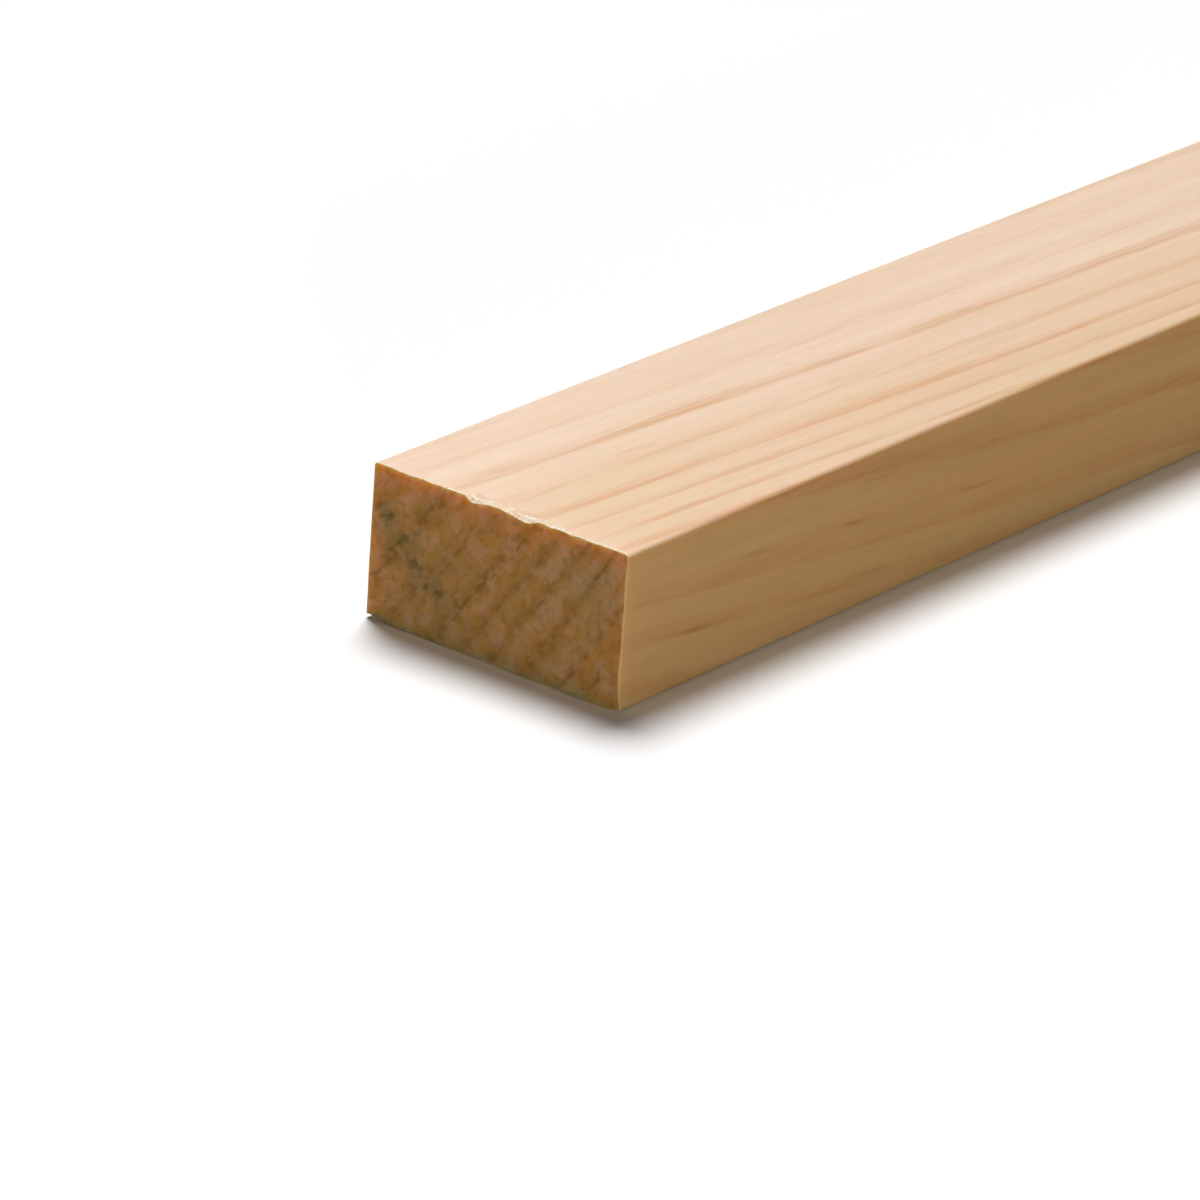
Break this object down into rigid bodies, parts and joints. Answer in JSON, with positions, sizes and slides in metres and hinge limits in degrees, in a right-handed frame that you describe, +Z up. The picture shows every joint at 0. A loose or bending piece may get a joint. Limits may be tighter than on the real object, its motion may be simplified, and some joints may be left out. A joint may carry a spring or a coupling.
{
  "type": "furring strip",
  "caption": "Straight softwood batten of rectangular section with eased long edges and square-sawn ends, fixed to a wall or ceiling to carry panels or cladding.",
  "frame": {"origin": "middle of the lower broad face, which the strip lies on", "axes": "+X along the length and the grain, away from the torn end; +Y across the width; +Z up through the thickness"},
  "size_m": [2.4384, 0.0382, 0.0198],
  "materials": {
    "softwood": "planed long faces, sawn end grain, unfinished"
  },
  "bodies": {
    "root": {"furring_strip": "softwood"}
  },
  "joints": []
}
